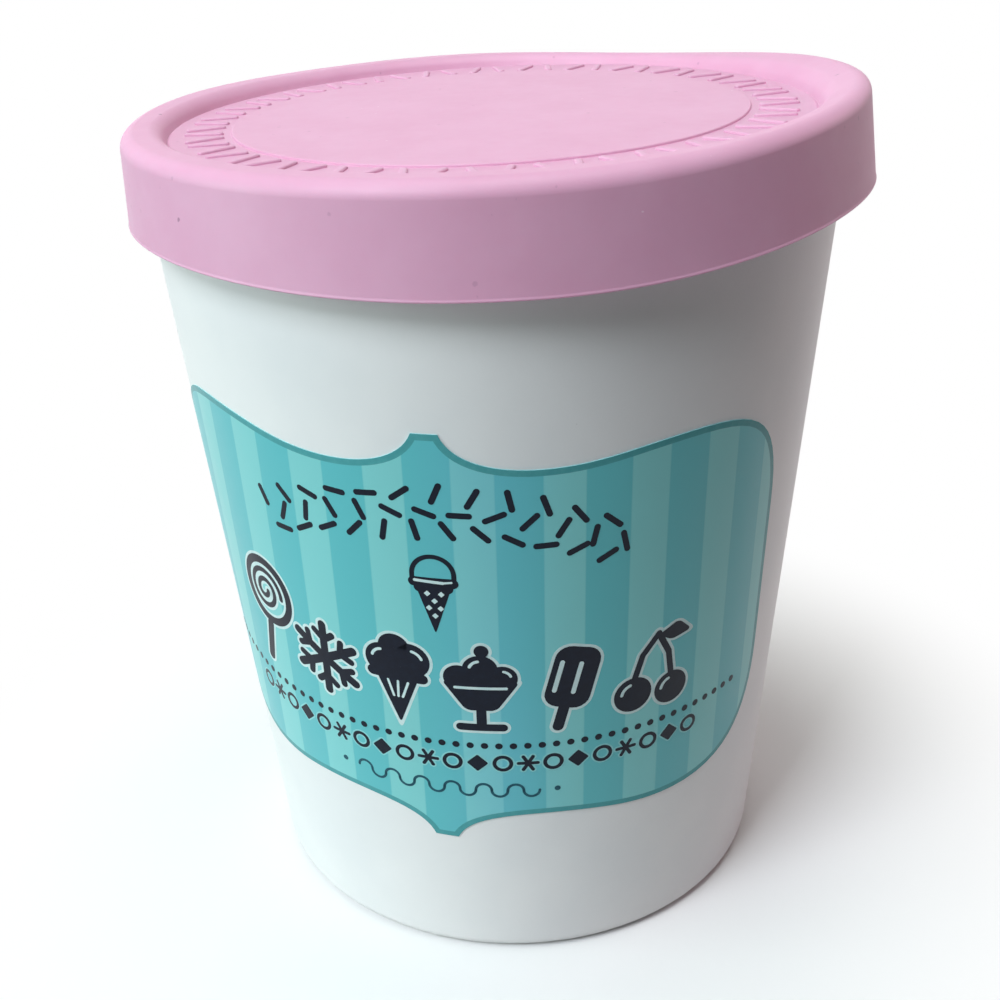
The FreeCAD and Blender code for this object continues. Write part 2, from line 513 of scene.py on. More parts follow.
CUP_PLASTIC = MouldedSkin(
    name="moulded_plastic",
    body=from_codes(240, 241, 241),
    cloud=from_codes(235, 237, 238),
    clouding=Noise(22 * MM, 3.0),
    cloud_edge=(0.35, 0.7),
    specks=(Specks(from_codes(176, 172, 168), 3.4 * MM, 0.13 * MM, 0.16, 0.5),),
    gloss=Noise(1.6 * MM),
    roughness=0.42,
    swing=0.12,
    grain=Noise(0.45 * MM),
    grain_share=0.25,
    wave=Noise(9 * MM, 1.0),
    wave_share=1.0,
    relief=0.05 * MM,
    specular=0.4,
    glow=0.06,
    glow_colour=(1.0, 1.0, 1.0),
    glow_depth=1.5 * MM,
)
LID_SILICONE = MouldedSkin(
    name="soft_silicone",
    body=from_codes(223, 169, 198),
    cloud=from_codes(219, 162, 192),
    clouding=Noise(17 * MM, 4.0, 0.6),
    cloud_edge=(0.3, 0.72),
    specks=(
        Specks(from_codes(170, 122, 150), 2.6 * MM, 0.28 * MM, 0.24, 0.3),
        Specks(from_codes(128, 84, 112), 11 * MM, 0.55 * MM, 0.3, 0.6),
        Specks(from_codes(246, 226, 236), 3.1 * MM, 0.14 * MM, 0.14, 0.5),
    ),
    gloss=Noise(2.2 * MM, 3.0),
    roughness=0.5,
    swing=0.16,
    grain=Noise(0.35 * MM, 3.0, 0.6),
    grain_share=0.22,
    wave=Noise(12 * MM, 1.0),
    wave_share=1.4,
    relief=0.06 * MM,
    specular=0.5,
    glow=0.14,
    glow_colour=(1.0, 0.45, 0.6),
    glow_depth=3.0 * MM,
)
NAVY = PrintedInk("navy_ink", from_codes(8, 17, 34), from_codes(12, 24, 42))
SLIM_NAVY = PrintedInk("slim_navy_ink", from_codes(24, 76, 92), from_codes(40, 96, 110))
KEYLINE = PrintedInk("keyline_ink", from_codes(214, 236, 236), from_codes(196, 226, 228))
EDGE_TEAL = PrintedInk("edge_ink", from_codes(76, 158, 163), from_codes(84, 166, 170))
FRINGE = PrintedInk("fringe_ink", from_codes(146, 214, 217), from_codes(138, 206, 210))


# ------------------------------------------------------------------------ mesh helpers


def finish_mesh(name: str, mesh: bmesh.types.BMesh, material: bpy.types.Material) -> bpy.types.Object:
    """Turns a bmesh into a smooth-shaded piece.

    Args:
        name: The piece's name.
        mesh: Its bmesh, which is freed.
        material: What it is made of.

    Returns:
        The new object.
    """
    data = bpy.data.meshes.new(name)
    for face in mesh.faces:
        face.smooth = True
    mesh.to_mesh(data)
    mesh.free()
    data.set_sharp_from_angle(angle=math.radians(SHARP_ANGLE))
    data.materials.append(material)
    piece = bpy.data.objects.new(name, data)
    bpy.context.scene.collection.objects.link(piece)
    return piece


def report(piece: bpy.types.Object, replaced: str = "") -> bpy.types.Object:
    """Rides a piece on the tub and logs it.

    Args:
        piece: The finished piece.
        replaced: The CAD node that it stands for, if any.

    Returns:
        The same piece.
    """
    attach(piece, BODY)
    if replaced:
        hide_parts(replaced)
    LOG.info("%s: %d faces", piece.name, len(piece.data.polygons))
    return piece


def spin(
    mesh: bmesh.types.BMesh,
    geom: list,
    angle: float,
    steps: int,
    centre: tuple[float, float, float] = ORIGIN,
    merge: bool = False,
    copies: bool = False,
) -> None:
    """Turns geometry round an upright axis.

    Args:
        mesh: The bmesh that holds it.
        geom: What is turned.
        angle: How far, in radians.
        steps: In how many steps.
        centre: A point on the axis.
        merge: Whether the last step joins the first.
        copies: Whether separate copies are left, and not a swept surface.
    """
    bmesh.ops.spin(
        mesh,
        geom=geom,
        cent=centre,
        axis=UP,
        angle=angle,
        steps=steps,
        use_merge=merge,
        use_duplicate=copies,
    )


def bevel(
    mesh: bmesh.types.BMesh,
    geom: list,
    width: float,
    segments: int,
    what: Rounds = Rounds.EDGES,
    clamp: bool = False,
) -> None:
    """Rounds edges or corners.

    Args:
        mesh: The bmesh that holds them.
        geom: The edges or the corners.
        width: How far from them the rounding starts.
        segments: How many facets it has.
        what: Whether edges or corners are rounded.
        clamp: Whether roundings stop where they meet.
    """
    bmesh.ops.bevel(
        mesh,
        geom=geom,
        offset=width,
        offset_type="OFFSET",
        affect=what.value,
        segments=segments,
        profile=0.5,
        material=-1,
        clamp_overlap=clamp,
    )


@dataclass(frozen=True)
class Corner:
    """A corner of a turned profile, in metres; rounding is the bevel's width."""

    radius: float
    height: float
    rounding: float = 0.0
    segments: int = 5


def turn_profile(corners: list[Corner], steps: int) -> bmesh.types.BMesh:
    """Turns a profile round the upright axis and rounds its marked corners.

    Args:
        corners: The profile from one point on the axis to another.
        steps: How many facets the round has.

    Returns:
        A closed bmesh whose normals point out.
    """
    mesh = bmesh.new()
    points = [mesh.verts.new((corner.radius, 0.0, corner.height)) for corner in corners]
    for first, second in zip(points, points[1:]):
        mesh.edges.new((first, second))
    spin(mesh, mesh.verts[:] + mesh.edges[:], math.tau, steps, merge=True)
    bmesh.ops.remove_doubles(mesh, verts=mesh.verts[:], dist=MERGE_GAP)
    bmesh.ops.recalc_face_normals(mesh, faces=mesh.faces[:])
    for corner in corners:
        if corner.rounding:
            _round_ring(mesh, corner)
    return mesh


def _round_ring(mesh: bmesh.types.BMesh, corner: Corner) -> None:
    """Bevels the ring of edges that one corner of a profile became.

    Args:
        mesh: The turned profile.
        corner: The corner.
    """

    def on_ring(vert: bmesh.types.BMVert) -> bool:
        """Tells whether a vertex is on the corner's ring."""
        near = abs(math.hypot(vert.co.x, vert.co.y) - corner.radius) < TOUCH_GAP
        return near and abs(vert.co.z - corner.height) < TOUCH_GAP

    ring = [edge for edge in mesh.edges if all(on_ring(vert) for vert in edge.verts)]
    bevel(mesh, ring, corner.rounding, corner.segments)


def even_shading(piece: bpy.types.Object) -> None:
    """Keeps broad faces flat beside their rounded edges.

    Args:
        piece: The piece, which gets a modifier.
    """
    weighted = piece.modifiers.new("even_shading", "WEIGHTED_NORMAL")
    weighted.mode = "FACE_AREA"
    weighted.keep_sharp = True


# -------------------------------------------------------------------------- tub and lid


@dataclass
class Cup:
    """The tapered cup. Its height and rim come from the frame."""

    base_radius: float = 46.5 * MM
    base_rounding: float = 2.5 * MM
    rim_rounding: float = 0.4 * MM
    wall_rings: tuple[float, ...] = (0.3, 0.6)
    facets: int = 192
    rim_radius: float = field(init=False)
    height: float = field(init=False)

    def __post_init__(self) -> None:
        """Reads the rim and the height."""
        _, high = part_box("tub")
        self.rim_radius = high[0]
        self.height = high[2]

    @property
    def slope(self) -> float:
        """How much the wall's radius grows for each metre of height."""
        return (self.rim_radius - self.base_radius) / self.height

    def wall(self, height: float) -> float:
        """Gives the outer radius at a height."""
        return self.base_radius + self.slope * height

    def build(self, plastic: bpy.types.Material) -> bpy.types.Object:
        """Builds the cup, shut and solid.

        Args:
            plastic: Its material.

        Returns:
            The piece.
        """
        rings = [share * self.height for share in self.wall_rings]
        corners = [
            Corner(0.0, 0.0),
            Corner(self.base_radius, 0.0, self.base_rounding, 8),
            *(Corner(self.wall(height), height) for height in rings),
            Corner(self.rim_radius, self.height, self.rim_rounding, 3),
            Corner(0.0, self.height),
        ]
        piece = finish_mesh("cup_shell", turn_profile(corners, self.facets), plastic)
        even_shading(piece)
        return report(piece, "tub")


@dataclass(frozen=True)
class Ride:
    """A place round the soft lid that sits higher, or lower, than the rest."""

    azimuth: float
    spread: float
    height: float

    def lift(self, azimuth: float) -> float:
        """Gives the rise at an azimuth, in degrees from the front."""
        off = abs((azimuth - self.azimuth + 180) % 360 - 180)
        return self.height * math.cos(math.radians(90 * off / self.spread)) ** 2 * (off < self.spread)


@dataclass
class Lid:
    """The press-on lid: middle disc, sunken floor, raised band, skirt and lip."""

    cup: Cup
    disc_radius: float = 41.85 * MM
    disc_rise: float = 0.4 * MM
    disc_rounding: float = 0.22 * MM
    floor_radius: float = 52.2 * MM
    floor_drop: float = 2.1 * MM
    crease_width: float = 0.45 * MM
    crease_depth: float = 0.22 * MM
    crease_rounding: float = 0.12 * MM
    band_inner: float = 53.1 * MM
    band_inner_rounding: float = 1.6 * MM
    band_outer: float = 59.3 * MM
    band_outer_rounding: float = 2.5 * MM
    skirt_radius: float = 60.5 * MM
    lip_height: float = 0.5 * MM
    lip_edge: float = 0.18 * MM
    lip_proud: float = 0.14 * MM
    lip_rounding: float = 0.12 * MM
    foot_rounding: float = 0.1 * MM
    groove_outer: float = 58.0 * MM
    groove_depth: float = 7.8 * MM
    groove_rounding: float = 0.5 * MM
    facets: int = 240
    mark_pairs: int = 30
    mark_inner: float = 43.1 * MM
    mark_outer: float = 49.2 * MM
    mark_width: float = 1.2 * MM
    mark_near: float = 1.6 * MM
    mark_far: float = 3.6 * MM
    mark_height: float = 0.4 * MM
    mark_end_rounding: float = 0.45 * MM
    mark_top_rounding: float = 0.28 * MM
    mark_segments: int = 3
    crest_shift: float = -0.25 * MM
    foot_shift: float = 0.75 * MM
    foot_rides: tuple[Ride, ...] = (Ride(70.0, 65.0, 2.9 * MM), Ride(-65.0, 60.0, 1.3 * MM))
    crest_rides: tuple[Ride, ...] = (
        Ride(84.0, 78.0, 3.0 * MM),
        Ride(148.0, 45.0, -1.1 * MM),
        Ride(-115.0, 35.0, 0.45 * MM),
    )
    foot: float = field(init=False)
    crest: float = field(init=False)

    def __post_init__(self) -> None:
        """Reads the skirt's foot and the lid's crest."""
        low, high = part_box("lid")
        self.foot = low[2]
        self.crest = high[2]

    @property
    def floor(self) -> float:
        """Height of the sunken floor."""
        return self.crest - self.floor_drop

    def build(self, silicone: bpy.types.Material) -> list[bpy.types.Object]:
        """Builds the lid and its ring of raised bars.

        Args:
            silicone: Its material.

        Returns:
            The pieces.
        """
        turned = turn_profile(self.corners(), self.facets)
        self.ease(turned)
        shell = finish_mesh("lid_shell", turned, silicone)
        even_shading(shell)
        marks = finish_mesh("lid_marks", self.marks(), silicone)
        return [report(shell, "lid"), report(marks)]

    def corners(self) -> list[Corner]:
        """Lists the lid's profile from the top's middle round to its underside.

        Returns:
            The corners, in order.
        """
        disc_top = self.floor + self.disc_rise
        crease_start = self.floor_radius - self.crease_width
        lip_top = self.foot + self.lip_height
        lip_edge = self.foot + self.lip_edge
        lip_radius = self.skirt_radius + self.lip_proud
        groove_top = self.foot + self.groove_depth
        return [
            Corner(0.0, disc_top),
            Corner(self.disc_radius, disc_top, self.disc_rounding, 3),
            Corner(self.disc_radius, self.floor, self.crease_rounding, 2),
            Corner(crease_start, self.floor, self.crease_rounding, 2),
            Corner(self.floor_radius - self.crease_width / 3, self.floor - self.crease_depth),
            Corner(self.floor_radius, self.floor - self.crease_depth / 2),
            Corner(self.band_inner, self.crest, self.band_inner_rounding, 8),
            Corner(self.band_outer, self.crest, self.band_outer_rounding, 10),
            Corner(self.skirt_radius, lip_top, self.lip_rounding, 3),
            Corner(lip_radius, lip_edge, self.lip_rounding, 2),
            Corner(lip_radius - self.lip_edge, self.foot, self.foot_rounding, 2),
            Corner(self.groove_outer, self.foot, self.groove_rounding, 3),
            Corner(self.groove_outer, groove_top),
            Corner(self.cup.wall(groove_top), groove_top),
            Corner(self.cup.rim_radius, self.cup.height),
            Corner(0.0, self.cup.height),
        ]

    def ease(self, mesh: bmesh.types.BMesh) -> None:
        """Lets the soft band sit a little unevenly and its foot ride up at the sides.

        Args:
            mesh: The turned lid, which is changed.
        """
        for vert in mesh.verts:
            radius = math.hypot(vert.co.x, vert.co.y)
            if radius < self.floor_radius:
                continue
            outward = min(1.0, (radius - self.floor_radius) / (self.band_outer - self.floor_radius))
            down = (self.crest - vert.co.z) / (self.crest - self.foot)
            azimuth = math.degrees(math.atan2(vert.co.x, -vert.co.y))
            at_foot = sum(ride.lift(azimuth) for ride in self.foot_rides)
            at_crest = sum(ride.lift(azimuth) for ride in self.crest_rides)
            vert.co.z += (at_foot * down + at_crest * (1 - down)) * outward
            drift = (self.foot_shift - self.crest_shift) * math.sqrt(max(down, 0.0))
            vert.co.x += (self.crest_shift + drift) * outward

    def marks(self) -> bmesh.types.BMesh:
        """Raises slanted bars in pairs round the sunken floor.

        Returns:
            The bars in a new bmesh.
        """
        mesh = bmesh.new()
        reach = self.mark_outer - self.mark_inner
        slant = self.mark_far - self.mark_near
        length, lean = math.hypot(reach, slant), math.atan2(slant, reach)
        middle = Vector((self.mark_inner + reach / 2, self.mark_near + slant / 2, self.floor))
        for side in (1, -1):
            bar = bmesh.ops.create_cube(mesh, size=1.0)["verts"]
            bmesh.ops.scale(mesh, vec=(length, self.mark_width, 2 * self.mark_height), verts=bar)
            bmesh.ops.rotate(mesh, matrix=Matrix.Rotation(side * lean, 3, "Z"), verts=bar)
            bmesh.ops.translate(mesh, vec=(middle.x, side * middle.y, middle.z), verts=bar)
        upright = [
            edge
            for edge in mesh.edges
            if abs(edge.verts[0].co.z - edge.verts[1].co.z) > self.mark_height
        ]
        bevel(mesh, upright, self.mark_end_rounding, self.mark_segments)
        top = self.floor + self.mark_height
        rim = [
            edge for edge in mesh.edges if all(abs(vert.co.z - top) < TOUCH_GAP for vert in edge.verts)
        ]
        bevel(mesh, rim, self.mark_top_rounding, self.mark_segments)
        turns = self.mark_pairs - 1
        geom = mesh.verts[:] + mesh.edges[:] + mesh.faces[:]
        spin(mesh, geom, math.tau * turns / self.mark_pairs, turns, copies=True)
        return mesh


# ------------------------------------------------------------------------- flat artwork


def bezier(controls: list[Point], steps: int) -> Outline:
    """Follows a cubic curve.

    Args:
        controls: Its start, its two pulls and its end.
        steps: How many parts it is cut into.

    Returns:
        The parts' first points, so that the curve's end is left out.
    """
    points = []
    for index in range(steps):
        along = index / steps
        left = 1 - along
        weights = (left**3, 3 * left**2 * along, 3 * left * along**2, along**3)
        points.append(
            tuple(sum(w * point[axis] for w, point in zip(weights, controls)) for axis in (0, 1))
        )
    return points


def moved(points: Outline | Row, at: Point) -> Outline:
    """Moves an outline to a place."""
    return [(at[0] + across, at[1] + up) for across, up in points]


def diamond(centre: Point, radius: float) -> Outline:
    """Gives the corners of a diamond."""
    return [polar(centre, radius, angle) for angle in (-90, 0, 90, 180)]


def polar(centre: Point, radius: float, angle: float) -> Point:
    """Gives the point at a radius and an angle, in degrees, from a centre."""
    turn = math.radians(angle)
    return centre[0] + radius * math.cos(turn), centre[1] + radius * math.sin(turn)


@dataclass
class WallWrap:
    """Rolls the flat label round the cup's wall, which is part of a cone."""

    cup: Cup
    turn: float = -12.6
    lean: float = -1.7
    middle: float = field(init=False)

    def __post_init__(self) -> None:
        """Reads the height of the label's middle."""
        low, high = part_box("label")
        self.middle = (low[2] + high[2]) / 2

    def place(self, flat: Vector) -> Vector:
        """Puts a flat point on the wall.

        Args:
            flat: Across, up and lift off the wall, in millimetres.

        Returns:
            The place, in metres.
        """
        half_angle = math.atan(self.cup.slope)
        lean = math.radians(self.lean)
        across = (flat.x * math.cos(lean) - flat.y * math.sin(lean)) * MM
        up = (flat.x * math.sin(lean) + flat.y * math.cos(lean)) * MM
        start = self.cup.wall(self.middle) / math.sin(half_angle)
        distance = math.hypot(across, start + up)
        turn = math.atan2(across, start + up) / math.sin(half_angle) + math.radians(self.turn)
        radius = distance * math.sin(half_angle) + flat.z * MM * math.cos(half_angle)
        height = self.middle + (distance - start) * math.cos(half_angle)
        height -= flat.z * MM * math.sin(half_angle)
        return Vector((radius * math.sin(turn), -radius * math.cos(turn), height))


@dataclass
class FlatArt:
    """Thin printed shapes, drawn flat in millimetres and then rolled on to the wall.

    Every shape is drawn larger by the margin all round, so that one drawing gives both an
    ink and the keyline under it.
    """

    name: str
    low: float
    high: float
    margin: float = 0.0
    strip: float = 1.6
    step: float = 9.5
    corner_segments: int = 5
    least_hole: float = 0.01
    arc_step: float = 36.0
    mesh: bmesh.types.BMesh = field(default_factory=bmesh.new)

    def polygon(self, points: Outline, rounding: float = 0.0) -> bmesh.types.BMFace:
        """Adds a shape from its corners.

        Args:
            points: The corners, anticlockwise.
            rounding: How far from a corner its rounding starts.

        Returns:
            The face, which is useful only when nothing is rounded.
        """
        corners = [self.mesh.verts.new((x, y, 0.0)) for x, y in self._grown(points)]
        face = self.mesh.faces.new(corners)
        if rounding + self.margin:
            width = rounding + self.margin
            bevel(self.mesh, corners, width, self.corner_segments, Rounds.CORNERS, clamp=True)
        return face

    def _grown(self, points: Outline) -> Outline:
        """Moves every side of an outline out by the margin.

        Args:
            points: The corners, anticlockwise.

        Returns:
            The moved corners.
        """
        if not self.margin:
            return points
        grown = []
        for index, point in enumerate(points):
            before, after = points[index - 1], points[(index + 1) % len(points)]
            first = Vector((point[1] - before[1], before[0] - point[0])).normalized()
            second = Vector((after[1] - point[1], point[0] - after[0])).normalized()
            push = (first + second) * (self.margin / (1 + first.dot(second)))
            grown.append((point[0] + push.x, point[1] + push.y))
        return grown

    def stroke(self, start: Point, end: Point, width: float) -> None:
        """Adds a straight stroke with round ends, which go half a width past its points.

        Args:
            start: Its first point.
            end: Its last point.
            width: Its width.
        """
        along = (Vector(end) - Vector(start)).normalized() * (width / 2)
        side = Vector((-along.y, along.x))
        first, last = Vector(start) - along, Vector(end) + along
        corners = [first - side, last - side, last + side, first + side]
        self.polygon([tuple(corner) for corner in corners], width / 2)

    def path(self, points: Outline, width: float) -> None:
        """Adds a stroke through several points."""
        for start, end in zip(points, points[1:]):
            self.stroke(start, end, width)

    def disc(self, centre: Point, radius: float, segments: int = 24) -> None:
        """Adds a filled circle.

        Args:
            centre: Its centre.
            radius: Its radius.
            segments: How many sides it has.
        """
        bmesh.ops.create_circle(
            self.mesh,
            cap_ends=True,
            segments=segments,
            radius=radius + self.margin,
            matrix=Matrix.Translation((*centre, 0.0)),
        )

    def balls(self, at: Point, balls: tuple[tuple[float, float, float], ...]) -> None:
        """Adds finely rounded discs, each by its place in a motif and its radius."""
        for across, up, radius in balls:
            self.disc((at[0] + across, at[1] + up), radius, FINE_ROUND)

    def band(self, centre: Point, radius: float, width: float, start: float, end: float) -> None:
        """Adds part of a ring with round ends.

        Args:
            centre: The ring's centre.
            radius: The radius of the band's middle.
            width: The band's width.
            start: First angle, in degrees.
            end: Last angle; 360 more than the first for a whole ring.
        """
        half = width / 2 + self.margin
        hole = max(radius - half, self.least_hole)
        inner = self.mesh.verts.new((*polar(centre, hole, start), 0.0))
        outer = self.mesh.verts.new((*polar(centre, radius + half, start), 0.0))
        edge = self.mesh.edges.new((inner, outer))
        turn = end - start
        closed = abs(turn) >= 360
        steps = max(6, int(abs(turn) * (radius + 2) / self.arc_step))
        around = (*centre, 0.0)
        spin(self.mesh, [inner, outer, edge], math.radians(turn), steps, around, merge=closed)
        if not closed:
            for angle in (start, end):
                self.disc(polar(centre, radius, angle), width / 2, 12)

    def finish(self, wrap: WallWrap, materials: list[bpy.types.Material]) -> bpy.types.Object:
        """Gives the shapes their thickness and rolls them on to the wall.

        Args:
            wrap: How the flat label lies on the wall.
            materials: The inks or films, in the order of the faces' numbers.

        Returns:
            The piece, riding on the tub.
        """
        self._slice(0, self.strip)
        self._slice(1, self.step)
        self._thicken()
        for vert in self.mesh.verts:
            vert.co = wrap.place(vert.co)
        piece = finish_mesh(self.name, self.mesh, materials[0])
        for material in materials[1:]:
            piece.data.materials.append(material)
        return report(piece)

    def _slice(self, axis: int, width: float) -> None:
        """Cuts the flat shapes into strips that can bend.

        Args:
            axis: 0 for upright cuts and 1 for level ones.
            width: The strips' width.
        """
        reach = [vert.co[axis] for vert in self.mesh.verts]
        normal = Vector((0, 0, 0))
        normal[axis] = 1
        for index in range(math.ceil(min(reach) / width), math.floor(max(reach) / width) + 1):
            bmesh.ops.bisect_plane(
                self.mesh,
                geom=self.mesh.verts[:] + self.mesh.edges[:] + self.mesh.faces[:],
                dist=CUT_GAP,
                plane_co=normal * (index * width),
                plane_no=normal,
            )

    def _thicken(self) -> None:
        """Gives the shapes a bottom, a top and sides, and notes the flat coordinates."""
        bmesh.ops.translate(self.mesh, vec=(0, 0, self.low), verts=self.mesh.verts[:])
        made = bmesh.ops.extrude_face_region(self.mesh, geom=self.mesh.faces[:])["geom"]
        top = [item for item in made if isinstance(item, bmesh.types.BMVert)]
        bmesh.ops.translate(self.mesh, vec=(0, 0, self.high - self.low), verts=top)
        bmesh.ops.recalc_face_normals(self.mesh, faces=self.mesh.faces[:])
        layer = self.mesh.loops.layers.uv.new(FLAT_LAYER)
        for face in self.mesh.faces:
            for loop in face.loops:
                loop[layer].uv = loop.vert.co.xy


# ------------------------------------------------------------------------------- label


@dataclass
class Inks:
    """The label's materials."""

    film: bpy.types.Material
    fringe: bpy.types.Material
    edge: bpy.types.Material
    navy: bpy.types.Material
    slim: bpy.types.Material
    keyline: bpy.types.Material


@dataclass
class Plaque:
    """The label's outline, in millimetres: notches, narrow places, humps and sides."""

    half_width: float = 60.35
    half_height: float = 38.05
    notch_half: float = 1.95
    notch_pull: tuple[Point, Point] = ((3.4, 34.4), (8.0, 32.3))
    valley: Point = (16.5, 32.3)
    hump: Point = (39.0, 34.0)
    corner_pull: Point = (54.0, 28.0)
    side_half: float = 14.0
    wave_pull: float = 0.4
    steps: int = 14
    fringe: float = 0.3
    border: float = 1.0
    film_low: float = -0.03
    film_high: float = 0.15

    def quarter(self) -> Outline:
        """Draws the outline from the top notch round to the right side.

        Returns:
            Its points, clockwise.
        """
        tip = (self.notch_half, self.half_height)
        side = (self.half_width, self.side_half)
        reach = self.wave_pull * (self.hump[0] - self.valley[0])
        wave = [(self.valley[0] + reach, self.valley[1]), (self.hump[0] - reach, self.hump[1])]
        corner = [(self.corner_pull[0], self.hump[1]), (side[0], self.corner_pull[1])]
        curves = (
            [tip, *self.notch_pull, self.valley],
            [self.valley, *wave, self.hump],
            [self.hump, *corner, side],
        )
        return [point for curve in curves for point in bezier(curve, self.steps)] + [side]

    def outline(self) -> Outline:
        """Mirrors the quarter into the whole outline.

        Returns:
            Its points, anticlockwise.
        """
        top = self.quarter()
        right = [(x, -y) for x, y in top] + top[::-1]
        return right + [(-x, y) for x, y in right[::-1]]

    def build(self, wrap: WallWrap, inks: Inks) -> bpy.types.Object:
        """Builds the film with its pale fringe and darker border.

        Args:
            wrap: How it lies on the wall.
            inks: The label's materials.

        Returns:
            The piece.
        """
        art = FlatArt("label_sheet", self.film_low, self.film_high)
        middle = art.polygon(self.outline())
        for number, width in ((1, self.fringe), (2, self.border)):
            ring = bmesh.ops.inset_region(
                art.mesh, faces=[middle], thickness=width, use_boundary=True, use_even_offset=True
            )["faces"]
            for face in ring:
                face.material_index = number
        film = art.finish(wrap, [inks.film, inks.fringe, inks.edge])
        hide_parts("label")
        return film


@dataclass
class LabelPrint:
    """The printed motifs: sprinkles, a small cone, a row of treats, dots and ornaments."""

    ink_low: float = 0.1
    keyline_high: float = 0.165
    keyline_margin: float = 0.5
    halo_high: float = 0.16
    halo_margin: float = 0.28
    navy_high: float = 0.18
    slim_high: float = 0.175
    pale_high: float = 0.195
    arch_centre: Point = (0.2, -38.8)
    arch_rows: tuple[float, ...] = (67.1, 61.1, 64.1)
    arch_half: float = 26.6
    row_jitter: float = 0.25
    sprinkles: int = 36
    sprinkle_length: float = 2.9
    sprinkle_width: float = 0.95
    sprinkle_turn: float = 68.0
    turn_jitter: float = 14.0
    sprinkle_seed: int = 11
    cone_middle: float = 0.1
    cone_rim: float = 14.6
    scoop_radius: float = 3.2
    scoop_line: float = 0.75
    dot_pitch: float = 2.294
    dots_each_side: int = 23
    dot_radius: float = 0.6
    dot_height: float = -17.7
    row_height: float = -21.3
    row_half: float = 40.6
    row_shift: float = 1.6
    row_count: int = 21
    ring_radius: float = 1.35
    ring_line: float = 0.62
    star_reach: float = 1.55
    star_line: float = 0.6
    diamond_reach: float = 1.75
    wave_height: float = -27.1
    wave_half: float = 15.6
    wave_count: int = 12
    wave_line: float = 0.46
    wave_gap: float = 2.9
    wave_dot: float = 0.5
    waffle_reach: float = 0.52
    waffle: Row = ((-0.99, 11.2), (1.17, 11.2), (0.09, 9.9), (-0.81, 8.6), (0.99, 8.6), (0.09, 7.2))
    pale_lines: tuple[tuple[Point, Point, float], ...] = (
        ((-2.7, 13.45), (1.6, 13.25), 0.5),
        ((1.6, 13.25), (2.9, 13.45), 0.36),
        ((-8.4, -6.6), (-7.575, -9.6), 0.42),
        ((-6.7, -6.6), (-6.81, -9.6), 0.42),
        ((-5.0, -6.6), (-6.045, -9.6), 0.42),
        ((2.6, -6.1), (10.6, -6.1), 0.5),
        ((19.3, -1.7), (18.0, -7.0), 0.75),
        ((22.3, -2.4), (21.0, -7.7), 0.75),
    )
    pale_arcs: tuple[tuple[Point, float, float, float, float], ...] = (
        ((-4.4, -2.2), 2.0, 0.5, 20, 80),
        ((-9.0, -2.7), 1.9, 0.5, 100, 165),
        ((6.6, -2.6), 1.7, 0.5, 100, 160),
        ((10.0, -4.2), 1.4, 0.45, 20, 80),
        ((31.0, -10.8), 2.0, 0.55, 105, 170),
        ((38.0, -11.7), 1.9, 0.55, 105, 170),
    )

    def build(self, wrap: WallWrap, inks: Inks) -> list[bpy.types.Object]:
        """Builds the keyline, the halo, the navy print, the slim print and the pale details.

        Args:
            wrap: How the flat label lies on the wall.
            inks: The label's materials.

        Returns:
            The pieces.
        """
        keyline = FlatArt("print_keyline", self.ink_low, self.keyline_high, self.keyline_margin)
        self.treats(keyline)
        halo = FlatArt("print_halo", self.ink_low, self.halo_high, self.halo_margin)
        self.ornaments(halo)
        navy = FlatArt("print_navy", self.ink_low, self.navy_high)
        for draw in (self.arch, self.small_cone, self.treats, self.dots, self.ornaments):
            draw(navy)
        slim = FlatArt("print_slim", self.ink_low, self.slim_high)
        self.wave(slim)
        pale = FlatArt("print_pale", self.ink_low, self.pale_high)
        self.pale_details(pale)
        return [
            keyline.finish(wrap, [inks.keyline]),
            halo.finish(wrap, [inks.fringe]),
            navy.finish(wrap, [inks.navy]),
            slim.finish(wrap, [inks.slim]),
            pale.finish(wrap, [inks.keyline]),
        ]

    def arch(self, art: FlatArt) -> None:
        """Scatters sprinkles along an arch.

        Args:
            art: The shapes that it adds to.
        """
        dice = random.Random(self.sprinkle_seed)
        for index in range(self.sprinkles):
            along = index / (self.sprinkles - 1)
            angle = 90 + self.arch_half * (1 - 2 * along)
            row = self.arch_rows[index % len(self.arch_rows)]
            radius = row + dice.uniform(-self.row_jitter, self.row_jitter)
            centre = polar(self.arch_centre, radius, angle)
            jitter = dice.uniform(-self.turn_jitter, self.turn_jitter)
            heading = angle + index * self.sprinkle_turn + jitter
            half = self.sprinkle_length / 2
            ends = polar(centre, half, heading), polar(centre, half, heading + 180)
            art.stroke(*ends, self.sprinkle_width)

    def small_cone(self, art: FlatArt) -> None:
        """Draws the small cone under the arch.

        Args:
            art: The shapes that it adds to.
        """
        x = self.cone_middle
        art.band((x, self.cone_rim), self.scoop_radius, self.scoop_line, 0, 180)
        for across in (x - self.scoop_radius, x + self.scoop_radius):
            art.stroke((across, self.cone_rim), (across, 13.4), self.scoop_line)
        art.stroke((x - 3.0, 13.2), (x + 3.0, 13.2), 1.7)
        for across in (-2.1, 0.0, 2.1):
            art.disc((x + across, 12.3), 0.95)
        art.polygon([(x, 3.9), (x + 2.8, 12.6), (x - 2.8, 12.6)], 0.5)

    def treats(self, art: FlatArt) -> None:
        """Draws the row of large treats.

        Args:
            art: The shapes that it adds to.
        """
        self.swirl_lolly(art, (-33.6, 0.9))
        self.snow_star(art, (-20.3, -6.4))
        self.two_scoops(art, (-6.9, -5.7))
        self.sundae(art, (6.6, -6.6))
        self.ice_lolly(art, (20.6, -6.2))
        self.cherries(art, (34.4, -6.8))

